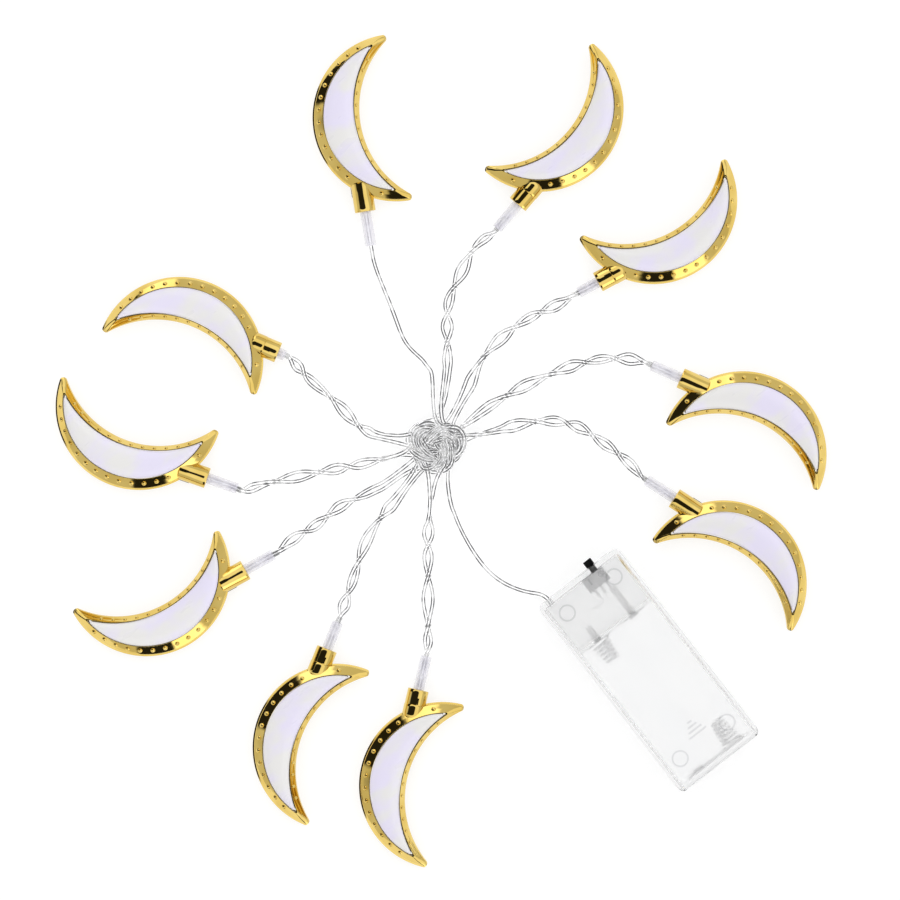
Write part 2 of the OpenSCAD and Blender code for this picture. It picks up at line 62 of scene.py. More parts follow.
# Each lamp: x and y of its collar's mouth, heading in degrees, front face up or not, length of its sleeve.
lamps = [
    (19.9, 187, 61.4, True, 12),
    (63.5, 156.4, 11.8, False, 11),
    (69, 117.7, -9.4, False, 7.5),
    (-34.4, 166.7, 119.4, False, 2.5),
    (-80.9, 147.2, 123, True, 11),
    (-90, 113.7, 171.1, True, 11),
    (-84.4, 74.4, -149.8, False, 10),
    (-67.9, 43.5, -141, False, 12),
    (43.9, 41.7, -70.9, True, 11.5),
    (71.4, 73.5, -61.5, True, 11),
]
tail_routes = [
    [(11, 170, 2.5), (8, 160, 1.2), (5, 150, 1.2), (3, 141, 1.2), (4, 132, 1.2), (2, 124, 2)],
    [(44, 154, 3.4), (34, 150, 2.1), (24, 144.5, 2.1), (15.5, 134.5, 2.1), (6, 122.5, 3.2)],
    [(54, 120, 3.4), (43, 122.5, 2.1), (31, 123, 2.1), (20, 121, 2.1), (8.5, 115, 2.2)],
    [(-32, 158, 3.4), (-31, 150, 2.1), (-29, 140, 2.1), (-28, 130, 2.1), (-24, 121, 3.2)],
    [(-68, 134, 3.4), (-57, 129, 2.1), (-46, 123.5, 2.1), (-35, 118, 2.1), (-26, 114, 2.2)],
    [(-71, 112, 3.4), (-61, 111, 2.1), (-51, 111, 2.1), (-41, 109, 2.1), (-31, 107, 3.2)],
    [(-70, 83, 3.4), (-61, 89, 2.1), (-52, 95, 2.1), (-42, 99, 2.1), (-32, 101, 2.1)],
    [(-54, 56, 3.4), (-47, 65, 2.1), (-40, 74, 2.1), (-33, 83, 2.1), (-26, 91, 3.2)],
    [(39, 61, 3.4), (36.5, 71, 2.1), (32, 83, 2.1), (22, 92.5, 2.1), (9, 98.5, 2.2)],
    [(60, 91, 3.4), (49, 98, 2.1), (36, 102.5, 2.1), (22, 105.5, 2.1), (9, 107, 3.2)],
]
lead_route = [
    (-13, 37.75, 5), (-13, 42.25, 5), (-16.6, 46.8, 3.6), (-21.4, 54.5, 1.6),
    (-23.3, 63, 1.2), (-22.8, 73, 1.2), (-21, 82, 1.2), (-18, 91, 1.6),
]
cord_order = [8, 9, 7, 10, 6, 3, 5, 2, 4, 1]
lamp_mid_z = 5.0
wire_d = 1.0
core_d = 0.38
wire_sides = 10
core_sides = 6
cord_step = 0.5
leg_overlap = 0.8
tail_start = 2
tail_axis_z = 2.1
single_axis_z = 1.2
twist_half = 13
twist_side = 1.4
twist_up = 0.56
twist_opens = 7
twist_uneven = 0.6
twist_width_uneven = 0.2
tilt_most = 0.5
tilt_wave = 9.0
tilt_eases = 15
knot_middle = np.array((-11, 107, 5.26))
knot_ring_r = 5.8
knot_swing = 3.0
knot_rise = 2.4
knot_loops = 2
knot_lobes = 3
knot_turned = math.radians(-20)
knot_bundle_r = 1.7
knot_reach = 14
knot_lead_in = math.radians(15)
knot_least_turn = math.radians(75)
knot_gap = 1.5
knot_rounds = 110
knot_push = 0.2
knot_smooth = 0.36
knot_most_move = 0.15
knot_trim = 4
knot_edge = 4
knot_near = 1.6
knot_own_gap = 12
knot_pair_rounds = 10
lane_step = 14
lane_least = 4
route_thin = 6
up = np.array((0.0, 0.0, 1.0))


def unit(v):
    return v / np.linalg.norm(v, axis=-1, keepdims=True)


def run_lengths(line):
    return np.concatenate([[0], np.cumsum(np.linalg.norm(np.diff(line, axis=0), axis=1))])


def spaced(line, step):
    """The same line with a point every step."""
    run = run_lengths(line)
    places = np.linspace(0, run[-1], max(2, round(run[-1] / step)) + 1)
    return np.column_stack([np.interp(places, run, line[:, k]) for k in range(3)])


def smooth_line(points, step):
    """Smooth curve through the points, a natural cubic spline, with a point every step."""
    p = np.asarray(points, float)
    t = np.concatenate([[0], np.cumsum(np.sqrt(np.linalg.norm(np.diff(p, axis=0), axis=1)))])
    h = np.diff(t)
    matrix = np.eye(len(p))
    bends = np.zeros_like(p)
    for i in range(1, len(p) - 1):
        matrix[i, i - 1:i + 2] = h[i - 1], 2 * (h[i - 1] + h[i]), h[i]
        bends[i] = 6 * ((p[i + 1] - p[i]) / h[i] - (p[i] - p[i - 1]) / h[i - 1])
    m = np.linalg.solve(matrix, bends)
    u = np.linspace(0, t[-1], 30 * len(p))
    i = np.clip(np.searchsorted(t, u) - 1, 0, len(p) - 2)
    after = (u - t[i])[:, None]
    before = (t[i + 1] - u)[:, None]
    span = h[i][:, None]
    curve = (m[i] * before ** 3 + m[i + 1] * after ** 3) / (6 * span)
    curve += (p[i] / span - m[i] * span / 6) * before + (p[i + 1] / span - m[i + 1] * span / 6) * after
    return spaced(curve, step)


def directions(line):
    return unit(np.gradient(line, axis=0))


def sideways(line):
    """Level and upright directions square to the line at each point."""
    along = directions(line)
    level = unit(np.cross(up, along))
    return level, np.cross(along, level)


def eased(x):
    x = np.clip(x, 0, 1)
    return x * x * (3 - 2 * x)


def heading(i):
    turn = math.radians(lamps[i][2])
    return np.array((math.cos(turn), math.sin(turn), 0))


def settled(route, axis_z, rest_z):
    """The route with its level stretch let down until the cords rest on the table."""
    points = np.array(route, float)
    points[:, 2] = lamp_mid_z - (lamp_mid_z - points[:, 2]) * (lamp_mid_z - rest_z) / (lamp_mid_z - axis_z)
    return points


def tail_line(i, side):
    """Centre line of one cord of a lamp's tail, from the LED's legs inside the sleeve to the knot."""
    x, y, _, _, sleeve = lamps[i]
    mouth = np.array((x, y, lamp_mid_z))
    single = side == 0
    rest = wire_d / 2 if single else twist_up + wire_d / 2
    route = settled(tail_routes[i], single_axis_z if single else tail_axis_z, rest)
    starts = [mouth - d * heading(i) for d in (leg_overlap, sleeve, sleeve + tail_start)]
    axis = smooth_line(np.vstack([starts, route]), cord_step)
    run = run_lengths(axis)
    free = run - (sleeve - leg_overlap)
    half_turns = max(2, round(free[-1] / twist_half))
    turn = math.pi * (0.5 + half_turns * np.clip(free / free[-1], 0, 1))
    turn += twist_uneven * np.sin(2.3 * math.pi * free / free[-1] + 1.9 * i) * eased(free / twist_opens)
    width = twist_side * eased(free / twist_opens) * (1 + twist_width_uneven * np.sin(0.31 * free + 2 * i))
    level, upright = sideways(axis)
    aside, above = width * np.cos(turn), twist_up * np.sin(turn)
    return axis + side * (aside[:, None] * level + above[:, None] * upright)


def knot_line(a):
    r = knot_ring_r + knot_swing * np.cos(knot_lobes * a)
    turn = knot_loops * a + knot_turned
    return np.column_stack([r * np.cos(turn), r * np.sin(turn), knot_rise * np.sin(knot_lobes * a)])


def outer_pass(turn):
    """Place along the knot's line where it passes a direction on its outer side."""
    a = (turn - knot_turned) / knot_loops
    return a if math.cos(knot_lobes * a) >= 0 else a + math.pi


def knot_lane(start, end, place):
    """A cord's way through the knot, from the side it comes in to the side it leaves."""
    turns = [math.atan2(*(p - knot_middle)[1::-1]) for p in (start, end)]
    first = outer_pass(turns[0] + knot_lead_in)
    last = outer_pass(turns[1] - knot_lead_in)
    run = (last - first) % (2 * math.pi)
    if run < knot_least_turn:
        run += 2 * math.pi
    a = first + np.linspace(0, run, max(lane_least, round(math.degrees(run) / lane_step)))
    along = unit(knot_line(a + 0.01) - knot_line(a - 0.01))
    across = unit(np.cross(along, up))
    spin = (place + a / 3 + 0.7 * np.sin(2 * a + 3 * place))[:, None]
    spread = (knot_bundle_r * (0.62 + 0.38 * np.sin(1.7 * a + 2.6 * place)))[:, None]
    aside = np.cos(spin) * across + np.sin(spin) * np.cross(across, along)
    return knot_middle + knot_line(a) + spread * aside


def outside_knot(line):
    return line[np.linalg.norm((line - knot_middle)[:, :2], axis=1) > knot_reach]


def cord_lines():
    """Centre lines of the lead and the nine links, each from end to end through the knot."""
    lines = []
    for k, to_lamp in enumerate(cord_order):
        if k == 0:
            first = smooth_line(settled(lead_route, single_axis_z, wire_d / 2), cord_step)
        else:
            first = tail_line(cord_order[k - 1] - 1, -1)
        last = tail_line(to_lamp - 1, 0 if to_lamp == 1 else 1)
        first, last = outside_knot(first)[:-knot_trim], outside_knot(last)[:-knot_trim][::-1]
        lane = knot_lane(first[-1], last[0], 2 * math.pi * k / len(cord_order))
        route = np.vstack([first[::route_thin], lane, last[::-route_thin][::-1]])
        lines.append(spaced(smooth_line(route, cord_step), cord_step))
    return lines


def drawn_tight(lines):
    """Pushes cords that lie in each other apart inside the knot and draws their bends smooth."""
    sizes = [len(line) for line in lines]
    owner = np.repeat(np.arange(len(lines)), sizes)
    place = np.concatenate([np.arange(n) for n in sizes])
    points = np.vstack(lines)
    near = np.linalg.norm((points - knot_middle)[:, :2], axis=1) < knot_reach + knot_edge
    inner = near & (place > 1) & (place < np.array(sizes)[owner] - 2)
    ids = np.flatnonzero(inner)
    apart = owner[ids][:, None] != owner[ids][None]
    apart |= abs(place[ids][:, None] - place[ids][None]) > knot_own_gap
    for turn in range(knot_rounds):
        if turn % knot_pair_rounds == 0:
            p = points[ids]
            room = (p ** 2).sum(1)
            close = room[:, None] + room[None] - 2 * p @ p.T < (knot_near * knot_gap) ** 2
            one, two = np.nonzero(np.triu(close & apart, 1))
        gaps = points[ids[one]] - points[ids[two]]
        reach = np.linalg.norm(gaps, axis=1, keepdims=True) + 1e-6
        push = knot_push * np.clip(knot_gap - reach, 0, None) / reach * gaps
        moves = np.zeros((len(ids), 3))
        np.add.at(moves, one, push)
        np.add.at(moves, two, -push)
        points[ids] += np.clip(moves, -knot_most_move, knot_most_move)
        points[ids] += knot_smooth * ((points[ids - 1] + points[ids + 1]) / 2 - points[ids])
        points[ids, 2] = np.maximum(points[ids, 2], wire_d / 2)
    return np.split(points, np.cumsum(sizes)[:-1])


def tube(line, radius, sides):
    """Corners and faces of a round tube along a line, closed at both ends."""
    level, upright = sideways(line)
    spin = np.arange(sides) * 2 * math.pi / sides
    rings = line[:, None] + radius * (
        np.cos(spin)[None, :, None] * level[:, None] + np.sin(spin)[None, :, None] * upright[:, None]
    )
    n = len(line)
    faces = [
        (i * sides + k, i * sides + (k + 1) % sides, (i + 1) * sides + (k + 1) % sides, (i + 1) * sides + k)
        for i in range(n - 1) for k in range(sides)
    ]
    faces += [tuple(range(sides))[::-1], tuple(range((n - 1) * sides, n * sides))]
    return rings.reshape(-1, 3), faces


def mesh_of(name, parts, materials, sharp=40):
    """One mesh from parts, each (corners in millimetres, faces, material place)."""
    corners, faces, slots = [], [], []
    for points, part_faces, slot in parts:
        offset = sum(len(c) for c in corners)
        corners.append(np.asarray(points, float) * mm)
        faces += [tuple(offset + v for v in f) for f in part_faces]
        slots += [slot] * len(part_faces)
    mesh = bpy.data.meshes.new(name)
    mesh.from_pydata(np.vstack(corners).tolist(), [], faces)
    for material in materials:
        mesh.materials.append(material)
    mesh.polygons.foreach_set("material_index", slots)
    tidy_mesh(mesh, sharp)
    return mesh


def tidy_mesh(mesh, sharp):
    """Faces turned outwards, and shaded smooth except at edges sharper than the angle."""
    work = bmesh.new()
    work.from_mesh(mesh)
    bmesh.ops.recalc_face_normals(work, faces=work.faces)
    work.to_mesh(mesh)
    work.free()
    mesh.polygons.foreach_set("use_smooth", [True] * len(mesh.polygons))
    mesh.set_sharp_from_angle(angle=math.radians(sharp))


def piece(name, mesh, body, slot, *nodes):
    """A shown piece that rides on a body and stands for CAD nodes."""
    obj = bpy.data.objects.new(name, mesh)
    scene.collection.objects.link(obj)
    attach(obj, body)
    if nodes:
        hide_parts(*nodes)
    return obj


class Shade:
    """A socket in a material, so that shading is written as sums. Values turn into Math nodes."""

    def __init__(self, tree, socket=None):
        self.tree = tree
        self.socket = socket

    def add(self, kind, settings=None, sockets=None, out=0):
        node = self.tree.nodes.new(kind)
        for key, value in (settings or {}).items():
            if key == "stops":
                ramp_stops(node.color_ramp, value)
            else:
                setattr(node, key, value)
        self.plug(node, sockets or {})
        return Shade(self.tree, node.outputs[out])

    def plug(self, node, sockets):
        for key, value in sockets.items():
            if isinstance(value, Shade):
                self.tree.links.new(value.socket, node.inputs[key])
            else:
                node.inputs[key].default_value = value

    def math(self, operation, a, b):
        return self.add("ShaderNodeMath", {"operation": operation}, {0: a, 1: b})

    def __add__(self, other):
        return self.math("ADD", self, other)

    def __radd__(self, other):
        return self.math("ADD", other, self)

    def __sub__(self, other):
        return self.math("SUBTRACT", self, other)

    def __rsub__(self, other):
        return self.math("SUBTRACT", other, self)

    def __mul__(self, other):
        return self.math("MULTIPLY", self, other)

    def __rmul__(self, other):
        return self.math("MULTIPLY", other, self)

    def place(self):
        """Place on the piece in metres, in its own axes."""
        return self.add("ShaderNodeTexCoord", out="Object")

    def cloud(self, size, detail=2.0, stretch=(1, 1, 1)):
        """Soft noise from 0 to 1 whose patches are about size metres across."""
        way = self.add("ShaderNodeMapping", None, {"Vector": self.place(), "Scale": stretch})
        return self.add("ShaderNodeTexNoise", None, {"Vector": way, "Scale": 1 / size, "Detail": detail})

    def ramp(self, low, high):
        """0 below low, 1 above high, smooth between."""
        settings = {"interpolation_type": "SMOOTHSTEP"}
        return self.add("ShaderNodeMapRange", settings, {"Value": self, "From Min": low, "From Max": high})

    def mix(self, a, b):
        """Colour a where this is 0 and b where it is 1."""
        settings = {"data_type": "RGBA"}
        return self.add("ShaderNodeMix", settings, {"Factor": self, 6: a, 7: b}, out=2)

    def bump(self, strength, depth):
        return self.add("ShaderNodeBump", None, {"Height": self, "Strength": strength, "Distance": depth})


def ramp_stops(ramp, stops):
    """Sets a colour ramp's stops, given as (place, colour)."""
    while len(ramp.elements) < len(stops):
        ramp.elements.new(1.0)
    for element, (at, colour) in zip(ramp.elements, stops):
        element.position = at
        element.color = colour


def material_of(name, sockets):
    """A material whose shader has these constant sockets, with the tools to vary the others."""
    material = bpy.data.materials.new(name)
    material.use_nodes = True
    tree = material.node_tree
    shader = tree.nodes["Principled BSDF"]
    shade = Shade(tree)
    shade.plug(shader, sockets)
    return material, shade, shader


def clear_pvc():
    """Clear PVC with a faint white emission: a painted glow that stands for the little light it scatters
    and hides the cords below.
    """
    material, shade, shader = material_of("clear_pvc", {
        "Transmission Weight": 1.0, "IOR": 1.2, "Coat Weight": 0.0,
        # Emission: painted light, a glow in place of the light the PVC scatters.
        "Emission Color": (1, 1, 1, 1), "Emission Strength": 0.105,
    })
    haze = shade.cloud(4 * mm)
    shade.plug(shader, {
        "Base Color": haze.ramp(0.35, 0.7).mix((0.97, 0.97, 0.98, 1), (1.0, 1.0, 1.0, 1)),
        "Roughness": 0.02 + 0.05 * haze,
        "Normal": shade.cloud(0.8 * mm).bump(0.1, 0.1 * mm),
    })
    return material


def tinned_core():
    material, shade, shader = material_of("tinned_core", {"Metallic": 0.5})
    strands = shade.cloud(0.3 * mm)
    # Base colour patches along the core, near black to light grey: painted shade and painted glints.
    painted_glint_and_shade = shade.cloud(3.5 * mm, 1.0)
    shade.plug(shader, {
        "Base Color": painted_glint_and_shade.ramp(0.4, 0.62).mix((0.04, 0.04, 0.045, 1), (0.56, 0.56, 0.56, 1)),
        "Roughness": 0.3 + 0.25 * strands,
        "Normal": strands.bump(0.4, 0.05 * mm),
    })
    return material


def make_cords():
    materials = [clear_pvc(), tinned_core()]
    for k, line in enumerate(drawn_tight(cord_lines())):
        line = spaced(line, cord_step)
        run = run_lengths(line)
        level, upright = sideways(line)
        tilt = tilt_most * np.sin(run / tilt_wave + k)
        tilt *= eased(run / tilt_eases) * eased((run[-1] - run) / tilt_eases)
        across = np.cos(tilt)[:, None] * level + np.sin(tilt)[:, None] * upright
        line[:, 2] = np.maximum(line[:, 2], wire_d / 2 * (1 + abs(np.sin(tilt))))
        parts = []
        for side in (-1, 1):
            wire = line + side * wire_d / 2 * across
            parts.append((*tube(wire, wire_d / 2, wire_sides), 0))
            parts.append((*tube(wire, core_d / 2, core_sides), 1))
        start = f"{cord_order[k - 1]:02d}" if k else "battery"
        name = f"cord_{start}_to_{cord_order[k]:02d}"
        nodes = [f"moon_{cord_order[k]:02d}_tail"] + ([] if k else ["battery_lead", "cord_knot"])
        cord = piece(name, mesh_of(name, parts, materials), "string", "clear_cord", *nodes)


make_cords()

# Gilt half shells: thin gold-plated mouldings, bright as a mirror. The front half carries the collar for
# the LED, the back half has a hood that closes over the collar, and both bands wear a row of raised beads.
lamp_span = 58.2
outer_rise = 33
inner_rise = 16.3
half_t = 4.5
side_h = 2.2
frame_wall = 1.0
lip_out = 0.6
lip_h = 0.6
lip_slope = 0.15
inner_lip = 0.12
outer_band = 3.3
inner_band = 1.9
band_bulge = 0.05
edge_land_out = 0.15
edge_land_in = 0.28
window_aside = 0.5
window_drop = 0.9
flange_w = 0.4
flange_t = 1.2
edge_t = 1.2
tip_end = 2.8
side_tip_end = 2.1
window_tip_end = 1.0
tip_back = 1.344
tip_pull = 0.28
tip_points = 10
arc_points = 112
collar_d = 7.4
collar_len = 10.4
collar_rise = 19.6
collar_past_tip = 1.7
collar_play = 0.06
collar_lift = 0.2
sleeve_d = 3.8
sleeve_in = 3.5
led_bore_d = 3.2
hood_start = 5.4
hood_t = 0.12
hood_lift = 0.1
slot_l = 2.3
slot_w = 0.7
bead_d = 1.7
inner_bead_d = 1.35
bead_h = 0.6
lip_play = 0.02
bead_step = 4.3
bead_from_tip = 13
bead_past_collar = 2.2
bead_beside_collar = 0.4
round_sides = 64
shell_sharp = 32


def arc_r(rise):
    return (rise ** 2 + lamp_span ** 2 / 4) / (2 * rise)


outer_r = arc_r(outer_rise)
inner_r = arc_r(inner_rise)
outer_mid = np.array((0, outer_rise - outer_r))
inner_mid = np.array((0, inner_rise - inner_r))
window_out = lip_out + outer_band - window_drop
window_in = inner_band + window_drop
window_shift = np.array((window_aside, -window_drop))
collar_x = -lamp_span / 2 - collar_past_tip
collar_axis = np.array((collar_x, collar_rise, 0))


def tip_of(out_r, in_r):
    """Right-hand point where two arcs of the crescent meet."""
    a, b = outer_mid[1], inner_mid[1]
    y = (out_r ** 2 - in_r ** 2 - a ** 2 + b ** 2) / (2 * (b - a))
    return np.array((math.sqrt(out_r ** 2 - (y - a) ** 2), y))


def arc(middle, r, first, last, n):
    turn = np.linspace(first, last, n)
    return middle + r * np.column_stack([np.cos(turn), np.sin(turn)])


def turn_of(point, middle):
    return math.atan2(*(point - middle)[::-1])


def crescent_row(out_in, in_in, shift, end, z):
    """Closed outline of a crescent at one height: how far its arcs lie inside the frame's, its part of the
    window's shift, and how far before the arcs' meeting point its round tips end."""
    out_r, in_r = outer_r - out_in, inner_r + in_in
    right = tip_of(out_r, in_r)
    back = tip_back * end
    out_right = turn_of(right, outer_mid) + back / out_r
    in_right = turn_of(right, inner_mid) + back / in_r
    outer = arc(outer_mid, out_r, math.pi - out_right, out_right, arc_points)
    inner = arc(inner_mid, in_r, in_right, math.pi - in_right, arc_points)
    pulls = [tip_pull * back * unit(p - q) for p, q in ((outer[-1], outer[-2]), (inner[0], inner[1]))]
    u = np.linspace(0, 1, tip_points + 2)[1:-1, None]
    tip = (1 - u) ** 3 * outer[-1] + 3 * (1 - u) ** 2 * u * (outer[-1] + pulls[0])
    tip += 3 * (1 - u) * u ** 2 * (inner[0] + pulls[1]) + u ** 3 * inner[0]
    loop = np.vstack([outer, tip, inner, tip[::-1] * (-1, 1)]) + shift * window_shift
    return np.column_stack([loop, np.full(len(loop), z)])


def rounded_profile(corners, steps=3):
    """Profile through corners (values for crescent_row, rounding), its corners eased."""
    points = np.array([c[:-1] for c in corners], float)
    rows = []
    for i, corner in enumerate(corners):
        here = points[i]
        before, after = points[i - 1] - here, points[(i + 1) % len(points)] - here
        ends = [here + way * min(0.45, corner[-1] / np.linalg.norm(way)) for way in (before, after)]
        for u in np.linspace(0, 1, steps + 1):
            rows.append((1 - u) ** 2 * ends[0] + 2 * u * (1 - u) * here + u ** 2 * ends[1])
    return rows


def skinned(rows, closed):
    """Faces between outlines that all have the same number of points."""
    n = len(rows[0])
    joins = len(rows) if closed else len(rows) - 1
    return np.vstack(rows), [
        (j * n + k, j * n + (k + 1) % n, (j + 1) % len(rows) * n + (k + 1) % n, (j + 1) % len(rows) * n + k)
        for j in range(joins) for k in range(n)
    ]


def half_shell():
    """Front half of the frame: lip, side, bead band, window edge and seat, all round the crescent."""
    seat_top = half_t - edge_t
    seat_bottom = seat_top - flange_t
    seat_out = window_out - flange_w - 0.1
    seat_in = window_in - flange_w - 0.1
    slope_mid = (
        (lip_out + window_out) / 2, (inner_lip + window_in) / 2, 0.5, (side_tip_end + window_tip_end) / 2,
        (side_h + half_t) / 2 + band_bulge,
    )
    corners = [
        (lip_play, lip_play, 0, tip_end, 0, 0.06),
        (lip_play, lip_play, 0, tip_end, lip_h, 0.08),
        (lip_out, inner_lip, 0, side_tip_end, lip_h + lip_slope, 0.1),
        (lip_out, inner_lip, 0, side_tip_end, side_h, 0.25),
        (*slope_mid, 0.12),
        (window_out - edge_land_out, window_in - edge_land_in, 1, window_tip_end, half_t, 0.06),
        (window_out, window_in, 1, window_tip_end, half_t, 0.06),
        (window_out, window_in + 0.01, 1, window_tip_end, seat_top, 0.06),
        (seat_out, seat_in, 1, window_tip_end, seat_top - 0.01, 0.06),
        (seat_out, seat_in, 1, window_tip_end, seat_bottom, 0.06),
        (lip_out + frame_wall, frame_wall, 0, side_tip_end, seat_bottom - 0.1, 0.06),
        (lip_out + frame_wall, frame_wall, 0, side_tip_end, 0, 0.06),
    ]
    return skinned([crescent_row(*row) for row in rounded_profile(corners)], True)


def turned(profile, sides, at, lift=None):
    """A piece turned about a line along x from a closed list of (x, radius), its upper side lifted."""
    spin = np.arange(sides) * 2 * math.pi / sides
    rows = []
    for x, r in profile:
        z = r * np.sin(spin)
        if lift:
            z = z * (1 + lift(x) * (z > 0))
        rows.append(np.column_stack([np.full(sides, x), r * np.cos(spin), z]) + at)
    return skinned(rows, True)


def collar():
    """Tube for the LED, round at its mouth and deeper where it runs up to the window."""
    r = collar_d / 2
    bore = sleeve_d / 2 + 0.1
    profile = [(0.0, bore + 0.25), (0.0, r - 0.3), (0.08, r - 0.1), (0.3, r)]
    profile += [(x, r) for x in np.linspace(1.2, collar_len - 0.4, 14)]
    profile += [(collar_len, r - 0.4), (collar_len, led_bore_d / 2), (sleeve_in, led_bore_d / 2)]
    profile += [(sleeve_in, bore), (0.25, bore)]
    return turned(profile, round_sides, collar_axis, lambda x: collar_lift * min(1, x / (collar_len - 3)))


def hood():
    """Rounded cap of the back half over the collar's root."""
    r = collar_d / 2 + hood_t
    profile = [(hood_start, 0.02), (hood_start, r - 0.3)]
    profile += [(hood_start + 0.1, r - 0.1), (hood_start + 0.35, r)]
    profile += [(x, r) for x in np.linspace(hood_start + 1, collar_len - 1.4, 6)]
    profile += [(collar_len - 0.7, r - 0.15), (collar_len, r - 0.6), (collar_len, 0.02)]
    return turned(profile, round_sides, collar_axis, lambda x: hood_lift)


def cylinder_along(x0, x1, r):
    return turned([(x0, 0.02), (x0, r), (x1, r), (x1, 0.02)], round_sides, collar_axis)


def block(low, high):
    corners = np.array([(x, y, z) for z in (low[2], high[2]) for x, y in (
        (low[0], low[1]), (high[0], low[1]), (high[0], high[1]), (low[0], high[1]))])
    return corners, [(3, 2, 1, 0), (4, 5, 6, 7), (0, 1, 5, 4), (1, 2, 6, 5), (2, 3, 7, 6), (3, 0, 4, 7)]


def dome(at, facing, d, h, sides=12, rings=4):
    """Closed bead that stands on a surface, its foot sunk a little."""
    side = unit(np.cross(facing, (0.3, 0.9, 0.2)))
    other = np.cross(facing, side)
    spin = np.arange(sides) * 2 * math.pi / sides
    leans = np.linspace(0, 0.94, rings) * math.pi / 2
    sizes = [(d / 2, -h / 2)] + [(d / 2 * math.cos(a), h * math.sin(a)) for a in leans]
    rows = [
        at + rise * facing + r * (np.cos(spin)[:, None] * side + np.sin(spin)[:, None] * other)
        for r, rise in sizes
    ]
    points, faces = skinned(rows, False)
    n = len(points)
    return points, faces + [tuple(range(sides)), tuple(range(n - sides, n))]


def beads():
    """Rows of beads in the middle of both bands, left out where the collar or hood stands."""
    parts = []
    rise = half_t - side_h
    lean_out = unit(np.array((rise, outer_band)))
    lean_in = unit(np.array((-rise, inner_band - inner_lip)))
    half_shift = window_shift / 2
    rows = [
        (outer_mid + half_shift, outer_r - (lip_out + window_out) / 2, lean_out, bead_d),
        (inner_mid + half_shift, inner_r + (inner_lip + window_in) / 2, lean_in, inner_bead_d),
    ]
    for middle, r, lean, d in rows:
        start = turn_of(tip_of(outer_r, inner_r), middle)
        span = math.pi - 2 * start
        count = round((span * r - 2 * bead_from_tip) / bead_step)
        for turn in np.linspace(start + bead_from_tip / r, math.pi - start - bead_from_tip / r, count + 1):
            way = np.array((math.cos(turn), math.sin(turn)))
            at = middle + r * way
            beside = abs(at[1] - collar_rise) < collar_d / 2 + hood_t + bead_beside_collar
            if beside and at[0] < collar_x + collar_len + bead_past_collar:
                continue
            facing = np.array((*(lean[0] * way), lean[1]))
            foot = np.array((*at, side_h + rise / 2 + band_bulge))
            parts.append((*dome(foot, facing, d, bead_h), 0))
    return parts


def gilt_plating():
    material, shade, shader = material_of("gilt_plating", {"Metallic": 1.0, "Coat Weight": 0.0})
    tone = shade.cloud(9 * mm)
    film = shade.cloud(1.6 * mm, 3.0)
    waves = shade.cloud(5 * mm, 1.0)
    shade.plug(shader, {
        "Base Color": tone.ramp(0.3, 0.7).mix((0.74, 0.525, 0.13, 1), (0.83, 0.62, 0.19, 1)),
        "Roughness": 0.03 + 0.09 * film * film,
        "Normal": (waves + 0.12 * film).bump(0.22, 0.25 * mm),
    })
    return material


def cut_mesh(name, base, others, material):
    """Joins or cuts meshes as solids: others holds (operation, part)."""
    body = bpy.data.objects.new(name, mesh_of(name, [(*base, 0)], [material]))
    scene.collection.objects.link(body)
    tools = []
    for operation, part in others:
        tool = bpy.data.objects.new(name + "_tool", mesh_of(name + "_tool", [(*part, 0)], [material]))
        scene.collection.objects.link(tool)
        tools.append(tool)
        cut = body.modifiers.new(operation, "BOOLEAN")
        cut.operation = operation
        cut.object = tool
        cut.solver = "EXACT"
    mesh = bpy.data.meshes.new_from_object(body.evaluated_get(bpy.context.evaluated_depsgraph_get()))
    for obj in [body, *tools]:
        bpy.data.objects.remove(obj)
    mesh.name = name
    return mesh


def with_parts(mesh, parts, sharp):
    """The mesh with more closed parts added to it."""
    extra = mesh_of("extra", parts, list(mesh.materials))
    work = bmesh.new()
    work.from_mesh(mesh)
    work.from_mesh(extra)
    work.to_mesh(mesh)
    work.free()
    bpy.data.meshes.remove(extra)
    tidy_mesh(mesh, sharp)
    return mesh


def lamp_place(i):
    """Where a lamp lies: drawn about its chord, hung by its collar's mouth, turned and laid on one face."""
    x, y, turn, front_up, _ = lamps[i]
    roll = 0 if front_up else math.pi
    return (
        Matrix.Translation(Vector((x, y, lamp_mid_z)) * mm)
        @ Matrix.Rotation(math.radians(turn), 4, "Z")
        @ Matrix.Rotation(roll, 4, "X")
        @ Matrix.Translation(Vector((-collar_x, -collar_rise, 0)) * mm)
    )


def cut_half(part):
    """The part with its lower side pressed flat onto the seam."""
    points, faces = part
    return np.column_stack([points[:, :2], np.maximum(points[:, 2], 0)]), faces


def mirrored(part):
    points, faces = part[:2]
    return (points * (1, 1, -1), faces, *part[2:])


def lamp_piece(name, mesh, i, slot, *nodes):
    """A copy of a lamp's piece, laid where that lamp lies."""
    copy = mesh.copy()
    copy.name = name
    copy.transform(lamp_place(i))
    return piece(name, copy, "string", slot, *nodes)


def make_shells():
    gilt = gilt_plating()
    slot = block(
        collar_axis + (hood_start - slot_l - 0.2, -0.3 - slot_w, -collar_d),
        collar_axis + (hood_start - 0.2, -0.3, 0.6 - collar_d / 2),
    )
    front = cut_mesh("front_shell", half_shell(), [("UNION", collar()), ("DIFFERENCE", slot)], gilt)
    front = with_parts(front, beads(), shell_sharp)
    back = cut_mesh("back_shell", mirrored(half_shell()), [
        ("UNION", mirrored(cut_half(hood()))),
        ("DIFFERENCE", cylinder_along(-1, collar_len + 0.3, collar_d / 2 + collar_play)),
    ], gilt)
    back = with_parts(back, [mirrored(b) for b in beads()], shell_sharp)
    for i in range(len(lamps)):
        name = f"moon_{i + 1:02d}"
        lamp_piece(name + "_front", front, i, "gilt_plating", name + "_front_shell")
        lamp_piece(name + "_back", back, i, "gilt_plating", name + "_back_shell")


make_shells()

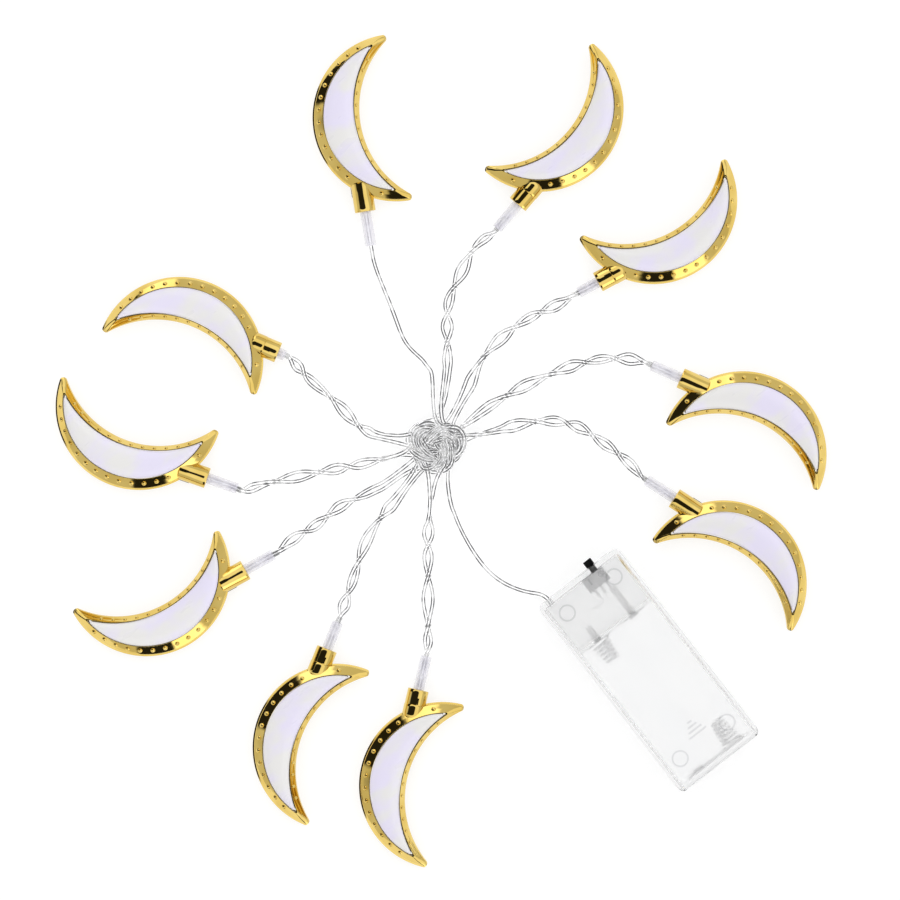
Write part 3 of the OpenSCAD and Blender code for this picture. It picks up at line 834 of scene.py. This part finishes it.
# Windows: milky mouldings held between the shells' edges, crowned on both faces. The gap round the edge
# shows as a dark line.
window_recess = 0.3
window_crown = 0.8
window_gap = 0.2
window_across = 17
window_sharp = 50


def window_grid(inset, z_edge, crown):
    """Corner grid over the window's opening, from arc to arc, crowned across its width."""
    loop = crescent_row(window_out + inset, window_in + inset, 1, window_tip_end + inset, z_edge)
    half_tip = tip_points // 2
    first, last = arc_points + half_tip, 2 * arc_points + tip_points + half_tip
    outer = np.vstack([loop[last:], loop[:first]])[:, :2]
    inner = loop[first:last][::-1, :2]
    width = np.linalg.norm(outer - inner, axis=1)[:, None]
    v = np.linspace(0, 1, window_across)[None]
    plan = outer[:, None] * (1 - v[..., None]) + inner[:, None] * v[..., None]
    return np.dstack([plan, z_edge + crown * (width / width.max()) ** 0.5 * (1 - (2 * v - 1) ** 2)])


def window_half():
    top = window_grid(window_gap, half_t - window_recess, window_crown)
    foot = window_grid(window_gap, half_t - edge_t - flange_t, 0)
    grid = np.vstack([top.reshape(-1, 3), foot.reshape(-1, 3)])
    n, m = top.shape[:2]
    at = lambda layer, i, j: layer * n * m + i * m + j
    faces = []
    for i in range(n - 1):
        for j in range(m - 1):
            faces.append((at(0, i, j), at(0, i + 1, j), at(0, i + 1, j + 1), at(0, i, j + 1)))
            faces.append((at(1, i, j), at(1, i, j + 1), at(1, i + 1, j + 1), at(1, i + 1, j)))
    rim = [(i, 0) for i in range(n)] + [(n - 1, j) for j in range(1, m)]
    rim += [(i, m - 1) for i in range(n - 2, -1, -1)] + [(0, j) for j in range(m - 2, 0, -1)]
    for (i, j), (k, l) in zip(rim, rim[1:] + rim[:1]):
        faces.append((at(0, i, j), at(1, i, j), at(1, k, l), at(0, k, l)))
    return grid, faces


def milky_window():
    material, shade, shader = material_of("milky_window", {"Coat Weight": 0.25, "IOR": 1.5})
    cloudy = shade.cloud(14 * mm, 2.0, (1, 1.6, 1))
    flow = shade.cloud(3 * mm, 2.0, (0.25, 1, 1))
    milk = (0.86 * cloudy + 0.14 * flow).ramp(0.36, 0.64)
    shade.plug(shader, {
        "Base Color": milk.mix((0.80, 0.76, 0.925, 1), (0.82, 0.81, 0.80, 1)),
        "Roughness": 0.22 + 0.16 * flow,
        "Normal": cloudy.bump(0.1, 0.4 * mm),
    })
    return material


def make_windows():
    half = window_half()
    mesh = mesh_of("window", [(*half, 0), (*mirrored(half), 0)], [milky_window()], window_sharp)
    for i in range(len(lamps)):
        name = f"moon_{i + 1:02d}"
        lamp_piece(name + "_window", mesh, i, "milky_window", name + "_diffuser")


make_windows()

# LEDs and their sleeves: a 3 mm LED sits in each collar, its legs are soldered to the cord inside a soft
# clear sleeve that is pushed into the collar's mouth.
sleeve_bore = 2.5
sleeve_sides = 28


def clear_sleeve():
    # The faint lavender-white emission is a painted glow that lightens the sleeve.
    material, shade, shader = material_of("clear_sleeve", {
        "IOR": 1.35, "Coat Weight": 0.0, "Emission Color": (0.95, 0.93, 1, 1), "Emission Strength": 0.06,
    })
    haze = shade.cloud(5 * mm)
    shade.plug(shader, {
        "Base Color": haze.ramp(0.3, 0.7).mix((0.84, 0.82, 0.93, 1), (0.91, 0.90, 0.96, 1)),
        "Roughness": 0.15 + 0.15 * haze,
        "Alpha": 0.22 + 0.22 * haze,
        "Normal": haze.bump(0.08, 0.2 * mm),
    })
    return material


def sleeve_tube(i):
    """Sleeve turned about the collar's axis, with a soft cut end."""
    out = lamps[i][4]
    r, bore = sleeve_d / 2, sleeve_bore / 2
    profile = [(sleeve_in, bore), (sleeve_in, r)]
    profile += [(x, r - 0.03 * math.sin(1.7 * x + i)) for x in np.linspace(sleeve_in - 0.5, 0.4 - out, 14)]
    profile += [(0.12 - out, r - 0.08), (-out, r - 0.3), (-out, bore + 0.15), (0.2 - out, bore)]
    return turned(profile, sleeve_sides, collar_axis)


def led_resin():
    material, shade, shader = material_of("led_resin", {"Transmission Weight": 0.5, "IOR": 1.5})
    haze = shade.cloud(1.5 * mm)
    shade.plug(shader, {
        "Base Color": haze.mix((0.93, 0.90, 0.74, 1), (0.97, 0.96, 0.88, 1)),
        "Roughness": 0.08 + 0.1 * haze,
    })
    return material


def tinned_metal():
    material, shade, shader = material_of("tinned_metal", {"Metallic": 0.25})
    rolled = shade.cloud(1.2 * mm, 3.0, (1, 0.2, 1))
    dull = shade.cloud(5 * mm)
    shade.plug(shader, {
        "Base Color": dull.mix((0.82, 0.82, 0.83, 1), (0.93, 0.93, 0.93, 1)),
        "Roughness": 0.22 + 0.2 * rolled,
        "Normal": rolled.bump(0.12, 0.05 * mm),
    })
    return material


def dress(node, material):
    """Gives a CAD node that keeps its shape its finish."""
    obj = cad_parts[node]
    obj.data.materials.clear()
    obj.data.materials.append(material)
    return obj


tinned = tinned_metal()


def make_leds():
    soft = clear_sleeve()
    parts = []
    for i in range(len(lamps)):
        points, faces = sleeve_tube(i)
        place = np.array(lamp_place(i))
        world = (points * mm) @ place[:3, :3].T + place[:3, 3]
        parts.append((world / mm, faces, 0))
    piece("sleeves", mesh_of("sleeves", parts, [soft]), "string", "clear_sleeve", "led_sleeves")
    dress("leds", led_resin())
    dress("led_legs", tinned)


make_leds()

# Battery box: a clear polystyrene tray with a fixed lid over the switch bay and a sliding cover over the
# two cells, all injection moulded, with softened edges, grip ribs and moulded rings.
mould_edge = 0.12
lid_top = 19.0
lid_face = 18.4


def clear_styrene(name, veil, matt, tone, uneven, painted_top_tone):
    """Clear moulding: smooth on its upper face, matt below, a slight milky veil, and its relief painted
    grey, a painted shade for the lines its edges show.
    """
    sockets = {"Transmission Weight": 1 - veil, "IOR": 1.2, "Coat Weight": 0.0}
    material, shade, shader = material_of(name, sockets)
    haze = shade.cloud(16 * mm, 2.0)
    flow = shade.cloud(6 * mm, 2.0, (1, 0.25, 1))
    height = shade.add("ShaderNodeSeparateXYZ", None, {"Vector": shade.place()}, out="Z")
    upper = height.ramp((lid_face - 0.2) * mm, (lid_face + 0.2) * mm)
    # What stands above the lid's top is painted grey: painted shade that draws the relief's edges.
    painted_relief_shade = height.ramp((lid_top + 0.05) * mm, (lid_top + 0.15) * mm)
    low = tone - uneven
    clear = haze.ramp(0.3, 0.7).mix((low, low + 0.004, low + 0.008, 1), (tone, tone, tone, 1))
    # The upper faces take an even tone of their own; on the case that greys the rim, a painted shade.
    clear = upper.mix(clear, (painted_top_tone, painted_top_tone, painted_top_tone, 1))
    shade.plug(shader, {
        "Base Color": painted_relief_shade.mix(clear, (0.7, 0.7, 0.71, 1)),
        "Roughness": upper * 0.05 + (1 - upper) * (matt + 0.1 * flow),
        "Normal": flow.bump(0.015, 0.2 * mm),
    })
    return material


def soften(obj, width):
    """Rounds a moulded node's edges with a narrow bevel."""
    bevel = obj.modifiers.new("mould edge", "BEVEL")
    bevel.width = width * mm
    bevel.segments = 2
    bevel.limit_method = "ANGLE"
    bevel.angle_limit = math.radians(35)
    bevel.use_clamp_overlap = False
    return obj


lid_styrene = clear_styrene("lid_styrene", 0.3, 0.26, 0.97, 0.08, 0.93)
dress("battery_case", clear_styrene("case_styrene", 0.04, 0.3, 1.0, 0.02, 0.88))
soften(dress("switch_bay_lid", lid_styrene), mould_edge)
soften(dress("battery_cover", clear_styrene("cover_styrene", 0.06, 0.34, 1.0, 0.01, 1.0)), mould_edge)

# Marks: a raised ring and a raised bar on the lid beside the knob, moulded with it, for off and on. They
# take the place of lettering.
relief_h = 0.4
mark_places = (7.4, 2.6)
mark_y = 36.9
mark_l = 2.4
mark_w = 0.6
mark_edge = 0.04
mark_sides = 36


def make_marks():
    out, bore = mark_l / 2, mark_l / 2 - mark_w
    ring = [(-0.1, bore), (-0.1, out), (relief_h - 0.1, out), (relief_h, out - 0.1)]
    ring += [(relief_h, bore + 0.1), (relief_h - 0.1, bore)]
    points, faces = turned(ring, mark_sides, (0, 0, 0))
    points = points[:, [1, 2, 0]] + (mark_places[0], mark_y, lid_top)
    bar = block(
        (mark_places[1] - mark_w / 2, mark_y - mark_l / 2, lid_top - 0.1),
        (mark_places[1] + mark_w / 2, mark_y + mark_l / 2, lid_top + relief_h),
    )
    mesh = mesh_of("switch_marks", [(points, faces, 0), (*bar, 0)], [lid_styrene])
    soften(piece("switch_marks", mesh, "string", "clear_styrene"), mark_edge)


make_marks()

# Switch: a slide switch on a ledge behind the end wall, a black stem and knob through the wall's slot,
# a pressed metal housing and three tinned pins.
knob_edge = 0.15
housing_edge = 0.12


def black_plastic():
    material, shade, shader = material_of("black_plastic", {"IOR": 1.2})
    grain = shade.cloud(0.4 * mm, 3.0)
    shade.plug(shader, {
        "Base Color": grain.mix((0.002, 0.002, 0.002, 1), (0.008, 0.008, 0.009, 1)),
        "Roughness": 0.35 + 0.2 * grain,
        "Normal": grain.bump(0.25, 0.04 * mm),
    })
    return material


def pressed_steel():
    material, shade, shader = material_of("pressed_steel", {"Metallic": 0.5})
    rolled = shade.cloud(1.5 * mm, 3.0, (0.3, 1, 1))
    shade.plug(shader, {
        "Base Color": rolled.mix((0.26, 0.26, 0.27, 1), (0.40, 0.40, 0.41, 1)),
        "Roughness": 0.35 + 0.2 * rolled,
    })
    return material


soften(dress("switch_slider", black_plastic()), knob_edge)
soften(dress("switch_housing", pressed_steel()), housing_edge)
dress("switch_terminals", tinned)

# Contacts: pressed strips of tinned steel at both ends of the cells, with a wound conical spring for each
# cell's minus end.
spring_wire = 0.64
spring_foot = 0.8
spring_base_r = 3.4
spring_tip_r = 2.3
spring_pitch = 1.5
cell_x = 7.6
contact_z = 9.4
springs = [
    ("minus_coil", "minus_spring", 5, (-cell_x, 18.35, contact_z), -1),
    ("bridge_coil", "bridge_spring", 6, (cell_x, -38.35, contact_z), 1),
]
strip_edge = 0.1
wall_gap = 0.06


def spring_line(curls, at, way):
    u = np.linspace(0, 1, 40 * curls + 1)
    r = spring_base_r + (spring_tip_r - spring_base_r) * u
    turn = 2 * math.pi * curls * u
    rise = spring_foot + spring_pitch * curls * u
    coil = np.column_stack([r * np.cos(turn), way * rise, r * np.sin(turn)])
    return np.vstack([[(spring_base_r, 0, 0)], coil]) + at


def wound_tube(line, radius, sides):
    """Tube along a line that may stand upright, its rings turned as little as possible."""
    along = directions(line)
    normals = [unit(np.cross(along[0], (0.1, 0.2, 0.97)))]
    for t in along[1:]:
        normals.append(unit(normals[-1] - np.dot(normals[-1], t) * t))
    level = np.array(normals)
    upright = np.cross(along, level)
    spin = np.arange(sides) * 2 * math.pi / sides
    rows = [
        p + radius * (np.cos(spin)[:, None] * a + np.sin(spin)[:, None] * b)
        for p, a, b in zip(line, level, upright)
    ]
    points, faces = skinned(rows, False)
    n = len(points)
    return points, faces + [tuple(range(sides))[::-1], tuple(range(n - sides, n))]


for name, node, curls, at, way in springs:
    coil = wound_tube(spring_line(curls, np.array(at), way), spring_wire / 2, wire_sides)
    piece(name, mesh_of(name, [(*coil, 0)], [tinned]), "string", "tinned_metal", node)


def stand_off(obj, gap):
    """Draws a node's faces in by a hair, so that light reaches them where they touch a clear wall."""
    shrink = obj.modifiers.new("air gap", "DISPLACE")
    shrink.strength = -gap * mm
    shrink.mid_level = 0
    return obj


for node in ("minus_plate", "plus_strip", "bridge_strip"):
    stand_off(soften(dress(node, tinned), strip_edge), wall_gap)

# Inner wires: the lead's two wires part inside the switch bay and are soldered to the minus tab and to the
# switch.
inner_wire_d = 0.9
inner_routes = [
    [
        (-13.5, 37.75, 5), (-13.5, 34.75, 5), (-13, 31.25, 7.2),
        (-9, 27.75, 9.4), (-7.6, 25.65, 9.4), (-7.6, 24.75, 9.4),
    ],
    [
        (-12.5, 37.75, 5), (-12.5, 36.35, 5), (-7.9, 34.75, 5),
        (-2.9, 28.95, 7.5), (2.2, 28.55, 10), (2.2, 30.35, 10),
    ],
]
inner_wire_step = 0.4


def make_inner_wires():
    materials = [bpy.data.materials["clear_pvc"], tinned]
    parts = []
    for route in inner_routes:
        line = smooth_line(route, inner_wire_step)
        parts.append((*wound_tube(line, inner_wire_d / 2, wire_sides), 0))
        parts.append((*wound_tube(line, core_d / 2, core_sides), 1))
    pair = mesh_of("inner_wire_pair", parts, materials)
    piece("inner_wire_pair", pair, "string", "clear_cord", "inner_wires")


make_inner_wires()

# Table and studio: a plain white table under a pale dome of soft light. Dark and bright screens stand low
# round it and a dark gap lies overhead, as the gilt shows them; a soft lamp gives the light a direction.
table_size = 4.0
table_drop = 0.1 * mm
lamp_aside = (-0.35, 0.45)
lamp_height = 1.6
lamp_size = 1.5
lamp_power = 10
dome_level = 1.12
low_level = 0.72
screen_top = 0.56
screens = [
    (275, 13, 0.02),
    (301, 13, 1.9),
    (107, 13, 1.7),
    (145, 23, 0.02),
]
gap_middle = (-0.35, 0.0)
gap_reach = (0.60, 0.38)
gap_level = 0.02


def white_table():
    material = bpy.data.materials.new("white_table")
    material.use_nodes = True
    tree = material.node_tree
    tree.nodes.remove(tree.nodes["Principled BSDF"])
    shade = Shade(tree)
    seen, mirrored_in, through = (
        shade.add("ShaderNodeLightPath", out=kind)
        for kind in ("Is Camera Ray", "Is Glossy Ray", "Is Transmission Ray")
    )
    lit = shade.add("ShaderNodeBsdfDiffuse", None, {"Color": (0.82, 0.82, 0.82, 1)})
    shadow = shade.add("ShaderNodeBsdfDiffuse", None, {"Color": (0.3, 0.3, 0.3, 1)})
    glow = shade.add("ShaderNodeEmission", None, {"Color": (1, 1, 1, 1), "Strength": 0.76})
    white = shade.add("ShaderNodeEmission", None, {"Color": (1, 1, 1, 1), "Strength": 1.0})
    shown = shade.add("ShaderNodeAddShader", None, {0: shadow, 1: glow})
    either = shade.math("MAXIMUM", seen, mirrored_in)
    surface = shade.add("ShaderNodeMixShader", None, {0: either, 1: lit, 2: shown})
    surface = shade.add("ShaderNodeMixShader", None, {0: through, 1: surface, 2: white})
    tree.links.new(surface.socket, tree.nodes["Material Output"].inputs["Surface"])
    return material


def make_table():
    half = table_size / 2
    mesh = bpy.data.meshes.new("table")
    corners = [
        (view_middle.x + x * half, view_middle.y + y * half, -table_drop)
        for x, y in ((-1, -1), (1, -1), (1, 1), (-1, 1))
    ]
    mesh.from_pydata(corners, [], [(0, 1, 2, 3)])
    mesh.materials.append(white_table())
    table = bpy.data.objects.new("table", mesh)
    scene.collection.objects.link(table)


def make_room():
    """World: white where the camera looks, and the pale dome with its screens for all other rays."""
    world = bpy.data.worlds.new("room")
    scene.world = world
    world.use_nodes = True
    tree = world.node_tree
    background = tree.nodes["Background"]
    shade = Shade(tree)
    way = shade.add("ShaderNodeTexCoord", out="Generated")
    turned_way = shade.add(
        "ShaderNodeVectorRotate", {"rotation_type": "Z_AXIS"}, {"Vector": way, "Angle": -view_turn},
    )
    east, north, high = (
        shade.add("ShaderNodeSeparateXYZ", None, {"Vector": turned_way}, out=k) for k in range(3)
    )
    low = 1 - high.ramp(screen_top - 0.05, screen_top + 0.05)
    level = dome_level + (low_level - dome_level) * low
    reach = shade.math("MAXIMUM", shade.math("SQRT", east * east + north * north, 0), 0.001)
    for turn, spread, strength in screens:
        a = math.radians(turn)
        facing = shade.math("DIVIDE", east * math.cos(a) + north * math.sin(a), reach)
        edges = math.cos(math.radians(spread + 2)), math.cos(math.radians(spread - 2))
        screen = facing.ramp(*edges) * low
        level = level + screen * (strength - level)
    across = (east - gap_middle[0]) * (1 / gap_reach[0])
    along = (north - gap_middle[1]) * (1 / gap_reach[1])
    gap = (1 - (across * across + along * along).ramp(0.85, 1.15)) * high.ramp(0.0, 0.1)
    level = level + gap * (gap_level - level)
    seen = shade.add("ShaderNodeLightPath", out="Is Camera Ray")
    shade.plug(background, {"Color": (1, 1, 1, 1), "Strength": seen + (1 - seen) * level})


def make_lamp():
    data = bpy.data.lights.new("soft_lamp", "AREA")
    data.shape = "SQUARE"
    data.size = lamp_size
    data.energy = lamp_power
    lamp = bpy.data.objects.new("soft_lamp", data)
    lamp.location = view_middle + Vector((*lamp_aside, lamp_height))
    lamp.rotation_euler = (view_middle - lamp.location).to_track_quat("-Z", "Y").to_euler()
    lamp.visible_glossy = False
    scene.collection.objects.link(lamp)


make_table()
make_room()
make_lamp()
scene.view_settings.view_transform = "Standard"
